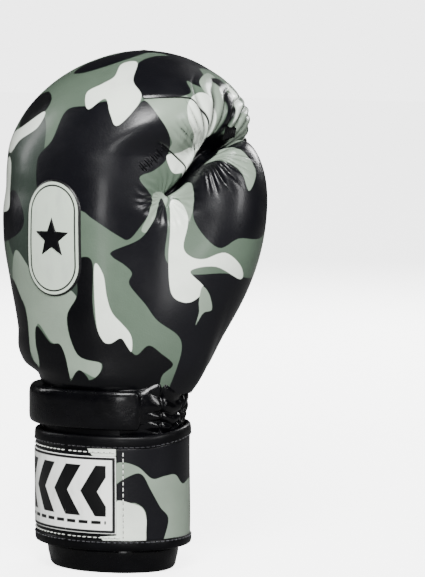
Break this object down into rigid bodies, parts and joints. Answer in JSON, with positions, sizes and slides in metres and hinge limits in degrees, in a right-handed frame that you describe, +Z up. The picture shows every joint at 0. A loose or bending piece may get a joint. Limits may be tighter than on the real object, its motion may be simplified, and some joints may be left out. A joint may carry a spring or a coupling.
{
  "type": "padded boxing glove",
  "caption": "Left-hand padded training glove with a curled mitt, an attached thumb, a padded wrist roll and a long hook-and-loop wrist strap that peels open; camouflage synthetic leather.",
  "frame": {"origin": "middle of the glove's outline seen from above, on the surface that the hem of the cuff stands on", "axes": "+Z up along the glove from the hem to the fingers, +X towards the thumb, -Y out of the back of the hand, +Y out of the palm"},
  "size_m": [0.1627, 0.1372, 0.3],
  "materials": {
    "camo_leather": "semi-gloss coated synthetic leather in a black, grey-green and pale camouflage",
    "black_leather": "semi-gloss black synthetic leather",
    "binding_tape": "black binding strip, stitched",
    "foam": "layered closed-cell foam",
    "lining_fabric": "smooth woven lining",
    "elastic": "ribbed elastic webbing",
    "hook_tape": "hook side of a hook-and-loop closure",
    "loop_tape": "loop side of a hook-and-loop closure",
    "label_white": "off-white rubber label with a plain dark pattern",
    "badge_pale": "pale sewn-on leather patch",
    "badge_dark": "dark raised star"
  },
  "bodies": {
    "glove": {"back_shell": "camo_leather", "strap_base": "camo_leather", "thumb_outer_panel": "camo_leather", "palm_panel": "black_leather", "thumb_inner_panel": "black_leather", "thumb_web": "black_leather", "cuff_shell": "black_leather", "wrist_gusset": "black_leather", "wrist_roll": "black_leather", "hem_roll": "black_leather", "strap_base_lower_binding": "binding_tape", "strap_base_upper_binding": "binding_tape", "impact_foam_outer": "foam", "impact_foam_inner": "foam", "finger_foam": "foam", "palm_foam": "foam", "thumb_foam": "foam", "cuff_foam": "foam", "wrist_foam": "foam", "grip_bar": "foam", "hand_liner": "lining_fabric", "thumb_liner": "lining_fabric", "thumb_keeper": "elastic", "loop_patch": "loop_tape", "badge_panel": "badge_pale", "badge_star": "badge_dark"},
    "strap_middle": {"strap_mid": "camo_leather", "strap_mid_lower_binding": "binding_tape", "strap_mid_upper_binding": "binding_tape", "hook_patch_mid": "hook_tape", "label_mid": "label_white"},
    "strap_end": {"strap_tip": "camo_leather", "strap_tip_lower_binding": "binding_tape", "strap_tip_upper_binding": "binding_tape", "hook_patch_tip": "hook_tape", "label_tip": "label_white"}
  },
  "joints": [
    {"name": "strap_middle_peel", "type": "hinge", "parent": "glove", "child": "strap_middle", "pos_m": [0.01997, -0.05354, 0.0476], "axis": [0, 0, 1], "range_deg": [0, 60]},
    {"name": "strap_end_peel", "type": "hinge", "parent": "strap_middle", "child": "strap_end", "pos_m": [-0.04204, -0.04492, 0.0476], "axis": [0, 0, 1], "range_deg": [0, 80]}
  ],
  "couplings": [
    {"joint": "strap_end_peel", "follows": "strap_middle_peel", "ratio": 1.3333}
  ]
}
